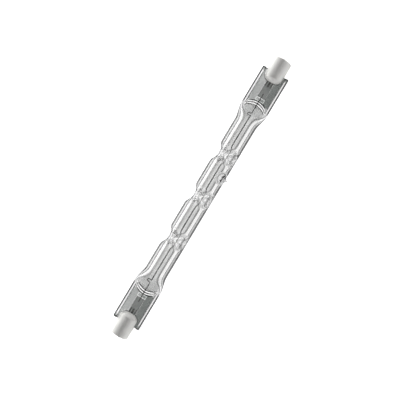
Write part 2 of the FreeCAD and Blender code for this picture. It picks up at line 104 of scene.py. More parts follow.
class LampSizes(bpy.types.PropertyGroup):
    """Sizes of the pieces that the scene makes itself."""

    tube_diameter: length_property("Tube diameter", "Outside of the quartz tube", 2 * TUBE_RADIUS)
    tube_wall: length_property("Tube wall", "Wall of the quartz tube", 1.1)
    neck_pitch: length_property("Neck pitch", "From one crimped neck to the next", NECK_PITCH)
    crimp_depth: length_property("Crimp depth", "How far each of a neck's crimps goes in", 1.4)
    crimp_round: length_property("Crimp radius", "Radius of a crimp along the tube", 4.8)
    throat: length_property("Throat", "Nearest that the bore comes to the axis in a neck", 1.2)
    throat_reach: length_property("Throat reach", "How far the bore narrows on each side of a neck", 4.5)
    web_height: length_property("Web height", "Thickness of the pressed web", 1.8)
    rail_height: length_property("Rail height", "Height of the rails beside the web", 2 * SEAL_HALF_HEIGHT)
    coil_diameter: length_property("Coil diameter", "Outside of the filament's coil", 0.55)
    coil_wire: length_property("Coil wire", "Wire that the filament is wound from", 0.13)
    coil_pitch: length_property("Coil pitch", "From one turn of the filament to the next", 0.23)
    foil_thickness: length_property("Foil thickness", "Sealing foil at its middle", 0.04)


class LampColours(bpy.types.PropertyGroup):
    """Colours of the lamp's finishes and of the stage."""

    # Painted shade: the grey of the pressed webs, rails' ends and flares, in place of the shadow seen
    # through them.
    pressed: colour_property("Pressed quartz", "Quartz of the pressed webs", (0.165, 0.176, 0.17, 1.0))
    ceramic: colour_property("Ceramic", "Unglazed ceramic", (0.87, 0.865, 0.84, 1.0))
    cement: colour_property("Cement", "Cement between quartz and ceramic", (0.70, 0.68, 0.63, 1.0))
    foil: colour_property("Foil", "Sealing foil", (0.9, 0.93, 0.91, 1.0))
    wire: colour_property("Lead wire", "Leads on both sides of the foil", (0.16, 0.16, 0.157, 1.0))
    tungsten: colour_property("Tungsten", "Coiled filament", (0.06, 0.06, 0.058, 1.0))
    nickel: colour_property("Nickel", "Contact buttons", (0.62, 0.59, 0.54, 1.0))
    floor: colour_property("Floor", "Surface that the lamp lies on", (0.8, 0.8, 0.8, 1.0))


# Shapes. Each is a function of two parameters, worked out on a whole grid at once.


def ease(value, start, end):
    """Rises smoothly from 0 at start to 1 at end: 3 s^2 - 2 s^3, where s is the way from start to end."""
    s = np.clip((value - start) / (end - start), 0.0, 1.0)
    return s * s * (3 - 2 * s)


# How many steps a density is summed in for each place.
FINE_STEPS = 24


def spread(start, end, count, crowded):
    """count places from start to end, closer together near each (centre, width, weight) of crowded.

    They are equal steps of the running sum of a density, which is 1 and a bell curve at each centre.
    """
    fine = np.linspace(start, end, FINE_STEPS * count)
    density = np.ones_like(fine)
    for centre, width, weight in crowded:
        density += weight * np.exp(-(((fine - centre) / width) ** 2))
    total = np.concatenate([[0.0], np.cumsum((density[1:] + density[:-1]) / 2)])
    return np.interp(np.linspace(0.0, total[-1], count), total, fine)


CRIMP_TURNS = np.radians([0.0, 120.0, 240.0])
CRIMP_FADE = 0.8
SOFTNESS = 14.0


def crimped(radius, along, around, necks, depth_radius, crimp_round):
    """A tube's radius after its necks are crimped.

    Each crimp is a plane across the tube, at a distance that follows a circle along it. The reciprocal
    radii of the tube and the planes are added by a high power, which takes the least one, rounded.
    """
    total = (1.0 / radius) ** SOFTNESS * np.ones_like(along * around)
    for neck in necks:
        offset = np.minimum(np.abs(along - neck) / crimp_round, 1.0)
        plane = depth_radius + crimp_round * (1.0 - np.sqrt(1.0 - offset**2))
        for turn in CRIMP_TURNS:
            facing = np.maximum(np.cos(around - turn), 0.0)
            fade = 1.0 - ease(offset, CRIMP_FADE, 1.0)
            total += fade * (facing / plane) ** SOFTNESS
    return total ** (-1.0 / SOFTNESS)


def throated(radius, along, necks, throat, reach):
    """A bore's radius that dips to the throat at each neck, as a cosine's wave.

    reach is how far a dip goes to each side of its neck.
    """
    dips = [np.cos(np.clip((along - neck) / reach, -1.0, 1.0) * math.pi) for neck in necks]
    return radius - (radius - throat) * sum((1.0 + dip) / 2 for dip in dips)


def swing_from_tip(around):
    """The angle from the exhaust tip's middle, about the lamp, between minus and plus half a turn."""
    return np.angle(np.exp(1j * (around - TIP_TURN)))


# Base radius, rise and power of the exhaust tip, outside and in the bore, and how far it is followed
# round the tube, in radians.
OUTER_NUB = (2.6, 3.15, 1.9)
INNER_NUB = (1.2, 0.8, 1.6)
NUB_REACH = 1.4
SETTLING_STEPS, SETTLING_SHARE = 40, 0.3


def nub(along, around, radius, base, rise, power):
    """Height of a pointed stub over the tube: rise * (1 - distance / base)^power.

    The distance from the stub's middle is measured at the height itself, which is found in steps.
    """
    height = np.zeros_like(along * around)
    swing = np.clip(swing_from_tip(around), -NUB_REACH, NUB_REACH)
    for _ in range(SETTLING_STEPS):
        away = np.hypot(along - TIP_PLACE, (radius + height) * np.sin(swing))
        wanted = rise * np.clip(1.0 - away / base, 0.0, 1.0) ** power
        height += SETTLING_SHARE * (wanted - height)
    return height


def oval(width, height, power, around):
    """A section across the lamp.

    It is width * cos t across, and height * (1 - |cos t|^power)^(1 / power) above and below.
    """
    across = np.cos(around)
    up = (1.0 - np.minimum(np.abs(across), 1.0) ** power) ** (1.0 / power)
    return width * across, height * up * np.sign(np.sin(around))


WALL_SLOPE = 0.3
# The edge of the seal's end is rounded by this radius, and by this share of a quarter circle.
END_ROUND, END_ROUND_SHARE = 0.35, 0.98
ROUND_POWER, SQUARE_POWER = 2.0, 8.0
OUTSIDE_ROWS, OUTSIDE_COLUMNS = 380, 176
INSIDE_ROWS, INSIDE_COLUMNS = 230, 72
# Where rows stand closer beside the shoulder, and how much: place, width and weight.
SHOULDER_ROWS = ((39.4, 1.3, 5.0), (35.5, 3.0, 0.8))
# The seal's end is closed flat: two rows that near the web's middle, and then one point on the axis.
# Each says what x, y and z are multiplied by.
END_ROWS = np.array([[1.0, 1.0, 0.7], [1.0, 1.0, 0.35], [1.0, 0.0, 0.0]])[:, None, :]


def arc_at(y):
    """How far along the lamp the shoulder's arc is: part of a circle that stands out between the rails."""
    bow = ARC_PLACE - SHOULDER
    bend = WEB_HALF_WIDTH**2 / (2 * bow) + bow / 2
    across = np.minimum(np.abs(y), WEB_HALF_WIDTH)
    return ARC_PLACE - bend + np.sqrt(np.maximum(bend**2 - across**2, 0.0))


def envelope_outside(sizes):
    """The outside of the quartz, carried along the lamp.

    Round and crimped in the middle, then an oval that turns square, and then the rails and web of
    the seal. The web is the square block's height, eased down inside the rails and past an arc.
    Rows and columns stand closer where the shape turns most.
    """
    radius = sizes.tube_diameter / 2 / MM
    necks = [step * sizes.neck_pitch / MM for step in (-1, 0, 1)]
    crowded = [(neck, 3.0, 1.6) for neck in necks] + [(TIP_PLACE, 2.2, 2.0)]
    for place, width, weight in (*SHOULDER_ROWS, (SEAL_END, 0.5, 3.0)):
        crowded += [(side * place, width, weight) for side in SIDES.values()]
    x = spread(-SEAL_END, SEAL_END, OUTSIDE_ROWS, crowded)[:, None]
    corner = math.acos(WEB_HALF_WIDTH / SEAL_HALF_WIDTH)
    corners = (corner, math.pi - corner, math.pi + corner, 2 * math.pi - corner)
    turns = [(turn, 0.08, 2.0) for turn in corners] + [(TIP_TURN, 0.5, 1.0)]
    t = spread(0.0, 2 * math.pi, OUTSIDE_COLUMNS + 1, turns)[None, :-1]

    round_wall = crimped(radius, x, t, necks, radius - sizes.crimp_depth / MM, sizes.crimp_round / MM)
    round_wall = round_wall + nub(x, t, radius, *OUTER_NUB)

    away = np.abs(x)
    toward = ease(away, FLARE_START, SHOULDER - 0.6)
    lower = ease(away, FLARE_START - 0.3, SHOULDER + 0.9)
    squarer = ease(away, FLARE_START + 3.0, SHOULDER + 1.0)
    rail_half = sizes.rail_height / 2 / MM
    width = radius + (SEAL_HALF_WIDTH - radius) * toward
    height = radius + (rail_half - radius) * lower
    power = ROUND_POWER + (SQUARE_POWER - ROUND_POWER) * squarer
    end = ease(away, SEAL_END - END_ROUND, SEAL_END)
    rounding = END_ROUND * (1.0 - np.sqrt(1.0 - end**2 * END_ROUND_SHARE))
    y, z = oval(width - rounding, height - rounding, power, t)

    arc = arc_at(y)
    between_rails = ease(np.abs(y), WEB_HALF_WIDTH + WALL_SLOPE / 2, WEB_HALF_WIDTH - WALL_SLOPE / 2)
    hollow = ease(away, arc - WALL_SLOPE, arc + WALL_SLOPE) * between_rails
    web = sizes.web_height / 2 / MM * np.ones_like(z)
    z = np.where(np.abs(z) > web, z + (np.sign(z) * web - z) * hollow, z)

    middle = away <= FLARE_START
    y = np.where(middle, round_wall * np.cos(t), y)
    z = np.where(middle, round_wall * np.sin(t), z)
    points = np.stack([np.broadcast_to(x, y.shape), y, z], axis=-1)
    return np.concatenate([points[:1] * END_ROWS[::-1], points, points[-1:] * END_ROWS])


def envelope_inside(sizes):
    """The gas space, carried along the lamp.

    Round, narrowed evenly at the necks, and flattened to a line at both ends.
    """
    bore = (sizes.tube_diameter / 2 - sizes.tube_wall) / MM
    necks = [step * sizes.neck_pitch / MM for step in (-1, 0, 1)]
    crowded = [(neck, 2.6, 2.0) for neck in necks] + [(TIP_PLACE, 1.0, 2.0)]
    crowded += [(side * (BORE_END - 1.0), 2.0, 3.0) for side in SIDES.values()]
    x = spread(-BORE_END, BORE_END, INSIDE_ROWS, crowded)[:, None]
    t = np.linspace(0.0, 2 * math.pi, INSIDE_COLUMNS + 1)[None, :-1]
    wall = throated(bore, x, necks, sizes.throat / MM, sizes.throat_reach / MM)
    wall = wall + nub(x, t, bore, *INNER_NUB)
    away = np.abs(x)
    closing = np.clip((away - FLARE_START) / (BORE_END - FLARE_START), 0.0, 1.0)
    width = bore + 0.7 * ease(closing, 0.1, 1.0)
    height = bore * (1.0 - closing**2)
    y, z = oval(width, height, ROUND_POWER, t)
    middle = closing <= 0.0
    y = np.where(middle, wall * np.cos(t), y)
    z = np.where(middle, wall * np.sin(t), z)
    return np.stack([np.broadcast_to(x, y.shape), y, z], axis=-1)


def helix(turn_radius, pitch, start, end, per_turn):
    """A coil about the lamp's axis, and the direction away from the axis at each of its points.

    The coil is the axis plus radius * (cos, sin) of an angle that grows by one turn in each pitch.
    """
    count = int((end - start) / pitch * per_turn)
    x = np.linspace(start, end, count)
    turn = 2 * math.pi * (x - start) / pitch
    outward = np.stack([np.zeros(count), np.cos(turn), np.sin(turn)], axis=-1)
    return turn_radius * outward + x[:, None] * np.array([1.0, 0.0, 0.0]), outward


def tube_along(path, outward, radius, sides):
    """A round wire along a path: the path plus radius * (cos, sin) in two directions square to it.

    One of the two is as near as can be to the outward direction. Both ends are closed.
    """
    ahead = np.gradient(path, axis=0)
    side = np.cross(outward, ahead)
    over = np.cross(ahead, side)
    side /= np.linalg.norm(side, axis=1, keepdims=True)
    over /= np.linalg.norm(over, axis=1, keepdims=True)
    turn = np.linspace(0.0, 2 * math.pi, sides + 1)[None, :-1, None]
    ring = np.cos(turn) * side[:, None, :] + np.sin(turn) * over[:, None, :]
    points = path[:, None, :] + radius * ring
    ends = [np.broadcast_to(path[i], points[:1].shape) for i in (0, -1)]
    return np.concatenate([ends[0], points, ends[1]])


# Places of the painted shade and highlights that are drawn on the quartz, in millimetres: from the middle
# of a neck along the lamp, across the lamp from its axis, and from the middle of the exhaust tip.
BAR_ACROSS = 2.6
FAN_TOP, FAN_SLOPE, FAN_SLANT = 0.55, 1.27, 1.6
GLINT_DOT_ACROSS = 1.66
RING_RADIUS, DISC_ACROSS, RIM_RADIUS = 2.05, 3.2, 0.85
# How light each painted mark is, how much of it shows, and how much light goes straight through at the tip
# and the necks, as through thin quartz.
CRIMP_SHADE_GREY, BAR_SHADE_DROP, PAINTED_TIP_GREY, RING_SHADE_GREY, DISC_SHADE_GREY, CLEAR = 0.42, 0.3, 0.7, 0.3, 0.38, 1.0
SUNK_SHARE, BAR_SHARE, GLINT_SHARE, TIP_SHARE, RING_SHARE = 0.66, 0.9, 0.8, 0.95, 0.7
TIP_THIN, NECK_THIN = 0.6, 0.12


def from_neck(x):
    """How far a point is along the lamp from the nearest neck."""
    return np.abs(x - NECK_PITCH * np.clip(np.round(x / NECK_PITCH), -1, 1))


def from_tip(x, y, z):
    """How far a point is from the middle of the exhaust tip, measured along the tube's surface."""
    return np.hypot(x - TIP_PLACE, TUBE_RADIUS * swing_from_tip(np.arctan2(z, y)))


def over_foil(x, y):
    """1 on the quartz over and under a foil."""
    across = ease(np.abs(y), FOIL_HALF_WIDTH + 0.1, FOIL_HALF_WIDTH)
    return across * ease(np.abs(x), FOIL_START - 0.1, FOIL_START)


def painted_neck_light(x, y, z):
    """What is sunk in a crimp, for its painted shade, the painted dark bar at the foot of the one that
    shows, and its painted highlight edges and glint dots.

    A light edge is a line that starts at FAN_TOP on the neck and falls by FAN_SLOPE for each millimetre
    from it. FAN_SLANT turns a distance across the lamp into one square to that line.
    """
    away = from_neck(x)
    sunk = ease(TUBE_RADIUS - np.hypot(y, z), 0.05, 0.6)
    sunk = sunk * ease(np.abs(x), FLARE_START, FLARE_START - 1.0)
    sunk = np.maximum(sunk, ease(away, 3.2, 2.2) * ease(y, -2.6, -3.0))
    above = ease(z, 0.0, 0.5)
    bar = ease(away, 2.4, 2.0) * ease(np.abs(y + BAR_ACROSS), 0.36, 0.22) * above
    # Painted highlights: the fan's light edges and a glint dot on each side.
    from_edge = np.abs(y - FAN_TOP + FAN_SLOPE * away) / FAN_SLANT
    edges = ease(from_edge, 0.34, 0.18) * ease(y, -2.3, -2.0) * ease(away, 3.0, 2.4) * above
    dots = ease(np.hypot(away, np.abs(y) - GLINT_DOT_ACROSS), 0.5, 0.3) * above
    return sunk, bar, np.maximum(edges, dots)


def painted_tip_light(x, y, z):
    """The exhaust tip, painted lighter, the painted shade ring at its foot, the painted shade disc at its
    middle and the disc's clear rim.
    """
    away = from_tip(x, y, z)
    tip = ease(away, 3.0, 2.6)
    ring = ease(np.abs(away - RING_RADIUS), 0.3, 0.1)
    from_disc = np.hypot(x - TIP_PLACE, y + DISC_ACROSS)
    disc = ease(from_disc, 0.55, 0.35) * tip
    rim = ease(np.abs(from_disc - RIM_RADIUS), 0.3, 0.15) * tip
    return tip, ring, disc, rim


def tones(x, y, z):
    """How light the quartz is where its painted bands give way to painted shade and highlights, how much
    of it shows, and what is thin.

    The crimps are painted a shade grey. The one that shows has painted highlights along edges like a
    fan's, a painted dark bar at its foot and a bright painted glint on each side. The exhaust tip is
    painted light, with a thin painted shade ring at its foot and a painted shade disc in a clear rim at
    its middle. The quartz over the foil is clear. Each mark is a product of eased steps, and its tone is
    mixed over the tones before it.
    """
    sunk, bar, light = painted_neck_light(x, y, z)
    tip, ring, disc, rim = painted_tip_light(x, y, z)
    clear = over_foil(x, y)
    # Painted shade of the crimps and painted light and shade of the exhaust tip, mixed over the painted
    # bands.
    tone = CRIMP_SHADE_GREY - BAR_SHADE_DROP * bar
    marks = [(CLEAR, light), (PAINTED_TIP_GREY, tip), (RING_SHADE_GREY, ring), (DISC_SHADE_GREY, disc)]
    for grey, mark in marks + [(CLEAR, rim), (CLEAR, clear)]:
        tone = tone + (grey - tone) * mark
    shares = [SUNK_SHARE * sunk, BAR_SHARE * bar, GLINT_SHARE * light]
    shares += [TIP_SHARE * tip, RING_SHARE * ring * (z > 0), clear]
    near_tip, near_neck = ease(from_tip(x, y, z), 2.2, 1.8), ease(from_neck(x), 4.6, 3.6)
    thin = np.maximum(TIP_THIN * near_tip, NECK_THIN * near_neck)
    return tone, np.maximum.reduce(shares), thin


# How grey the painted shade on the flare and on the rails' ends is, and how far from the shoulder's arc
# its lines can be.
FLARE_SHADE, END_SHADE = 0.42, 0.8
ARC_RANGE = 2.0


def quartz_painted_light(x, y, z):
    """What the quartz's material reads at its points, by name.

    pressed is how much painted shade greys it: on the web, deeper towards -Y where the lamp's shadow lies
    beneath, and on the rails' ends and the flare. rail is 1 on the rails, and seam is 1 between
    them. narrow is how far its painted bands are drawn in. past_arc is how far it is past the shoulder's
    arc.
    tone, toned and thin are what tones gives.
    """
    away, aside, arc = np.abs(x), np.abs(y), arc_at(y)
    rail = ease(aside, WEB_HALF_WIDTH - 0.05, WEB_HALF_WIDTH + 0.05)
    rail = rail * ease(away, SHOULDER - 0.8, SHOULDER + 0.6)
    seam = ease(aside, WEB_HALF_WIDTH + 0.1, WEB_HALF_WIDTH - 0.1)
    web = ease(away, ARC_PLACE - 0.6, ARC_PLACE + 0.2) * seam
    # Painted shadow: the web's grey deepens towards -Y, where the lamp's shadow lies beneath it, and is
    # mostly left off over the foil.
    shade = (0.62 + 0.38 * ease(y, 1.6, -1.8)) * (1.0 - 0.93 * over_foil(x, y))
    # Painted shade on the rails' ends and on the flare.
    end = rail * ease(away, SEAL_END - 1.9, SEAL_END - 1.1)
    flare = FLARE_SHADE * ease(away, FLARE_START, SHOULDER - 2.0) * ease(away, arc - 0.6, arc - 1.2)
    flare = flare * ease(aside, 4.4, 2.8)
    near_tip = ease(from_tip(x, y, z), 2.6, 1.8)
    tone, toned, thin = tones(x, y, z)
    return {
        "pressed": np.maximum(web * shade, END_SHADE * end) + flare,
        "rail": rail,
        "narrow": np.maximum(0.5 * ease(away, FLARE_START + 1.0, SHOULDER), 0.85 * near_tip),
        "past_arc": np.clip(away - arc, -ARC_RANGE, ARC_RANGE),
        "seam": seam,
        "tone": tone,
        "toned": toned,
        "thin": thin,
    }


WELD_PITCH = 1.1
FOIL_ROWS, FOIL_COLUMNS = 60, 48


def foil_marks(x, y):
    """How dark the foil is: three stripes of the lead's weld at its outer end, and its long edges."""
    aside = np.abs(y)
    stripes = 0.5 + 0.5 * np.cos(2 * math.pi * y / WELD_PITCH)
    weld = ease(np.abs(x), WELD_START, WELD_START + 0.3) * stripes
    weld = weld * ease(aside, FOIL_HALF_WIDTH, FOIL_HALF_WIDTH - 0.25)
    edges = ease(aside, FOIL_HALF_WIDTH - 0.4, FOIL_HALF_WIDTH - 0.1)
    return np.maximum(0.9 * weld, 0.5 * edges)


def foil_surface(thickness, side):
    """The sealing foil: a flat strip with sharp long edges, ends cut straight and a very slight ripple.

    It is half its width * cos t across, and half its thickness * sin t up, plus two waves along it.
    """
    x = np.linspace(FOIL_START, FOIL_END, FOIL_ROWS)[:, None]
    t = np.linspace(0.0, 2 * math.pi, FOIL_COLUMNS + 1)[None, :-1]
    across = FOIL_HALF_WIDTH * np.cos(t)
    lens = thickness / 2 * np.sin(t)
    ripple = 0.02 * np.sin(x * 2.1) * np.cos(across * 1.3) + 0.012 * np.sin(x * 5.3 + across)
    z = lens + ripple - thickness / 2
    points = np.stack([np.broadcast_to(side * x, z.shape), np.broadcast_to(across, z.shape), z], axis=-1)
    flat = np.array([1.0, 1.0, 0.0])
    middle = np.array([0.0, 0.0, 1.0]) * points[:, :, 2:3].mean(axis=1, keepdims=True)
    return np.concatenate([points[:1] * flat + middle[:1], points, points[-1:] * flat + middle[-1:]])


def grid_mesh(name, grids):
    """A mesh of (points, inward) grids, each wrapped round its second parameter, with its own material.

    inward turns a grid's faces round, for a wall whose outside is towards the lamp's axis, and for a
    grid that was mirrored.
    """
    vertices, faces, kinds, base = [], [], [], 0
    for points, inward in grids:
        rows, columns = points.shape[:2]
        row_start = base + np.arange(rows - 1)[:, None] * columns
        column = np.arange(columns)[None, :]
        corner, beside = row_start + column, row_start + (column + 1) % columns
        quads = np.stack([corner, corner + columns, beside + columns, beside], axis=-1).reshape(-1, 4)
        faces.append(quads if inward else quads[:, ::-1])
        kinds.append(np.full(len(quads), len(kinds), dtype=np.int32))
        vertices.append(points.reshape(-1, 3))
        base += rows * columns
    rolled = np.concatenate(vertices) @ np.array(ROLL).T
    mesh = bpy.data.meshes.new(name)
    mesh.from_pydata((rolled * MM).tolist(), [], np.concatenate(faces).tolist())
    mesh.polygons.foreach_set("material_index", np.concatenate(kinds))
    return mesh


# Points nearer to each other than this, in metres, are merged.
SEAM_GAP = 1e-7


def close_seams(mesh):
    """Merges the points that fall together at poles and ends, and shades the mesh smooth."""
    work = bmesh.new()
    work.from_mesh(mesh)
    bmesh.ops.remove_doubles(work, verts=work.verts, dist=SEAM_GAP)
    work.to_mesh(mesh)
    work.free()
    mesh.polygons.foreach_set("use_smooth", np.ones(len(mesh.polygons), dtype=bool))
    mesh.update()


def add_piece(name, grids, materials, nodes):
    """A finished piece of the lamp in place of the frame's solids."""
    mesh = grid_mesh(name, grids)
    close_seams(mesh)
    for material in materials:
        mesh.materials.append(material)
    piece = bpy.data.objects.new(name, mesh)
    bpy.context.scene.collection.objects.link(piece)
    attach(piece, "root")
    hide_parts(*nodes)
    return piece


def lamp_places(piece):
    """The places of a piece's points in millimetres, with the webs of the seals level."""
    places = np.empty(len(piece.data.vertices) * 3, dtype=np.float32)
    piece.data.vertices.foreach_get("co", places)
    return np.array(ROLL).T @ places.reshape(-1, 3).T / MM


def keep_at_points(piece, name, values):
    """Keeps a value at each of a piece's points."""
    layer = piece.data.attributes.new(name, "FLOAT", "POINT")
    layer.data.foreach_set("value", values.astype(np.float32))


# Materials.


def fill(tree, socket, value):
    """Links a socket to another, or gives it a value."""
    if isinstance(value, bpy.types.NodeSocket):
        tree.links.new(value, socket)
    else:
        socket.default_value = value


def put(tree, kind, settings=None, **inputs):
    """A new node. settings are its properties, and inputs its sockets, by name or by number.

    A socket's name has underscores for spaces, and a number has one before it.
    """
    made = tree.nodes.new(kind)
    for name, value in (settings or {}).items():
        setattr(made, name, value)
    for name, value in inputs.items():
        key = int(name[1:]) if name[1:].isdigit() else name.replace("_", " ")
        fill(tree, made.inputs[key], value)
    return made


def new_material(name):
    """A material, its node tree and its shader."""
    made = bpy.data.materials.new(name)
    made.use_nodes = True
    return made, made.node_tree, made.node_tree.nodes["Principled BSDF"]


def object_place(tree):
    """Object coordinates: metres in the lamp's frame."""
    return put(tree, "ShaderNodeTexCoord").outputs["Object"]


def attribute(tree, name):
    """A value that the mesh keeps at its points."""
    return put(tree, "ShaderNodeAttribute", {"attribute_name": name}).outputs["Fac"]


def mottle(tree, place, scale, detail, roughness=0.5):
    """Noise between 0 and 1."""
    made = put(tree, "ShaderNodeTexNoise", Vector=place, Scale=scale, Detail=detail, Roughness=roughness)
    return made.outputs["Fac"]


def mix_colour(tree, share, one, two, **settings):
    """One colour, turning into another by a share."""
    made = put(tree, "ShaderNodeMix", {"data_type": "RGBA", **settings}, _0=share, _6=one, _7=two)
    return made.outputs[2]


def in_order(tree, kind, settings, values):
    """A new node whose sockets take these values in their order."""
    made = put(tree, kind, settings)
    for number, value in enumerate(values):
        fill(tree, made.inputs[number], value)
    return made


def between(tree, value, low, high, to_low=0.0, to_high=1.0):
    """A value mapped from one range to another, and kept inside it."""
    made = in_order(tree, "ShaderNodeMapRange", {"clamp": True}, (value, low, high, to_low, to_high))
    return made.outputs[0]


def worked_out(tree, operation, *values):
    """What a Math node makes of one to three values."""
    return in_order(tree, "ShaderNodeMath", {"operation": operation}, values).outputs[0]


def worked_out_vector(tree, operation, *values):
    """What a Vector Math node makes of one or two vectors: a vector, or a number for a dot product."""
    made = in_order(tree, "ShaderNodeVectorMath", {"operation": operation}, values)
    return made.outputs["Value" if operation == "DOT_PRODUCT" else "Vector"]


def bump(tree, shader, height, strength, distance):
    """Adds relief to a shader."""
    made = put(tree, "ShaderNodeBump", Strength=strength, Distance=distance, Height=height)
    tree.links.new(made.outputs["Normal"], shader.inputs["Normal"])


def shaded(colour, share):
    """A colour made darker or lighter by a share."""
    return [min(channel * share, 1.0) for channel in colour[:3]] + [1.0]


def banded(tree, value, bands):
    """A grey that follows a value through (place, grey) pairs."""
    ramp = put(tree, "ShaderNodeValToRGB", Fac=value)
    stops = ramp.color_ramp.elements
    while len(stops) < len(bands):
        stops.new(0.5)
    for stop, (place, grey) in zip(stops, bands):
        stop.position = place
        stop.color = (grey, grey, grey, 1.0)
    return ramp.outputs["Color"]


# Painted reflection bands: how much light enters quartz on its +Y and -Y sides, from where it is seen
# square on to where it is seen along its surface. They stand for long soft surroundings, which show as
# such bands along clear rod and tube, and the +Y side is painted lighter.
PAINTED_BANDS_ABOVE = (
    (0.0, 0.7),
    (0.02, 0.62),
    (0.056, 0.42),
    (0.09, 0.36),
    (0.108, 0.6),
    (0.126, 0.95),
    (0.235, 1.0),
    (0.272, 0.28),
    (0.335, 0.28),
    (0.37, 0.85),
    (0.44, 0.7),
    (0.52, 0.18),
    (0.62, 0.05),
    (0.84, 0.03),
    (0.93, 0.5),
    (1.0, 0.65),
)
PAINTED_BANDS_BELOW = (
    (0.0, 0.7),
    (0.045, 0.62),
    (0.066, 0.24),
    (0.086, 0.26),
    (0.105, 0.7),
    (0.14, 1.0),
    (0.24, 1.0),
    (0.275, 0.4),
    (0.335, 0.36),
    (0.37, 0.7),
    (0.43, 0.65),
    (0.49, 0.1),
    (0.56, 0.03),
    (0.84, 0.02),
    (0.93, 0.5),
    (1.0, 0.65),
)
# The same painted reflection bands for the rails, light and dark stripes from the web's side to the outer
# edge, in millimetres from the lamp's axis.
PAINTED_RAIL_BANDS = (
    (4.05, 0.6),
    (4.12, 0.32),
    (4.32, 0.32),
    (4.42, 0.6),
    (4.52, 0.92),
    (4.76, 0.92),
    (4.88, 0.12),
    (5.45, 0.06),
)
# Painted highlight and painted shade lines beside the arc of the shoulder, by how far they are past it.
# 0.5 leaves the quartz as it is.
PAINTED_SEAM_LINES = (
    (-1.5, 0.5),
    (-1.3, 0.3),
    (-1.05, 0.3),
    (-0.9, 0.95),
    (-0.6, 0.95),
    (-0.4, 0.2),
    (-0.05, 0.2),
    (0.1, 1.0),
    (0.4, 1.0),
    (0.55, 0.32),
    (0.8, 0.32),
    (1.0, 0.5),
)


WHITE = (1.0, 1.0, 1.0, 1.0)
SHADOW_GREY = (0.86, 0.86, 0.86, 1.0)
BORE_COLOUR = (0.985, 0.985, 0.98, 1.0)
QUARTZ_IOR = 1.46


def clear_quartz(tree, shader, thin=0.0):
    """Glass that lets most light by, so that what is inside and beneath it isn't dark.

    thin is how much light goes straight on, as through thin glass.
    """
    shader.inputs["Transmission Weight"].default_value = 1.0
    shader.inputs["IOR"].default_value = QUARTZ_IOR
    shader.inputs["Roughness"].default_value = 0.0
    passing = put(tree, "ShaderNodeBsdfTransparent", Color=SHADOW_GREY)
    shadow = put(tree, "ShaderNodeLightPath").outputs["Is Shadow Ray"]
    share = worked_out(tree, "MAXIMUM", shadow, thin)
    both = put(tree, "ShaderNodeMixShader", _0=share, _1=shader.outputs[0], _2=passing.outputs[0])
    tree.links.new(both.outputs[0], tree.nodes["Material Output"].inputs["Surface"])


def ramp_over(tree, value, bands):
    """A grey that follows a value through (place, grey) pairs, with places of any size."""
    first, last = bands[0][0], bands[-1][0]
    share = between(tree, value, first, last)
    return banded(tree, share, [((place - first) / (last - first), grey) for place, grey in bands])


# The pad where the lead meets the foil, and the foil's folded end beside it.
PAD_PLACE, PAD_HALF_LENGTH, PAD_HALF_WIDTH = 41.95, 0.6, 1.6
FOLD_PLACE, FOLD_HALF_LENGTH = 42.95, 0.2
PAD_COLOUR = (0.72, 0.75, 0.73, 1.0)
FOLD_COLOUR = (0.12, 0.13, 0.125, 1.0)


def box_distance(tree, out, middle, half_length, half_width):
    """How far a point is outside a rectangle on the web, in millimetres, and below 0 inside it.

    out is the point's distance from the lamp's axis, across the lamp.
    """
    place = put(tree, "ShaderNodeSeparateXYZ", Vector=object_place(tree)).outputs["X"]
    away = worked_out(tree, "ABSOLUTE", place)
    past = worked_out(tree, "MULTIPLY_ADD", away, 1 / MM, -middle)
    ends = worked_out(tree, "SUBTRACT", worked_out(tree, "ABSOLUTE", past), half_length)
    sides = worked_out(tree, "SUBTRACT", out, half_width)
    return worked_out(tree, "MAXIMUM", ends, sides)


def pad_lines(tree, out):
    """0.75 on the outline of the pad, and 0 elsewhere."""
    outside = box_distance(tree, out, PAD_PLACE, PAD_HALF_LENGTH, PAD_HALF_WIDTH)
    return between(tree, worked_out(tree, "ABSOLUTE", outside), 0.1, 0.16, 0.75, 0.0)


def dark_bar(tree, out):
    """0.8 on the foil's folded end, and 0 elsewhere."""
    outside = box_distance(tree, out, FOLD_PLACE, FOLD_HALF_LENGTH, PAD_HALF_WIDTH)
    return between(tree, outside, -0.05, 0.05, 0.8, 0.0)


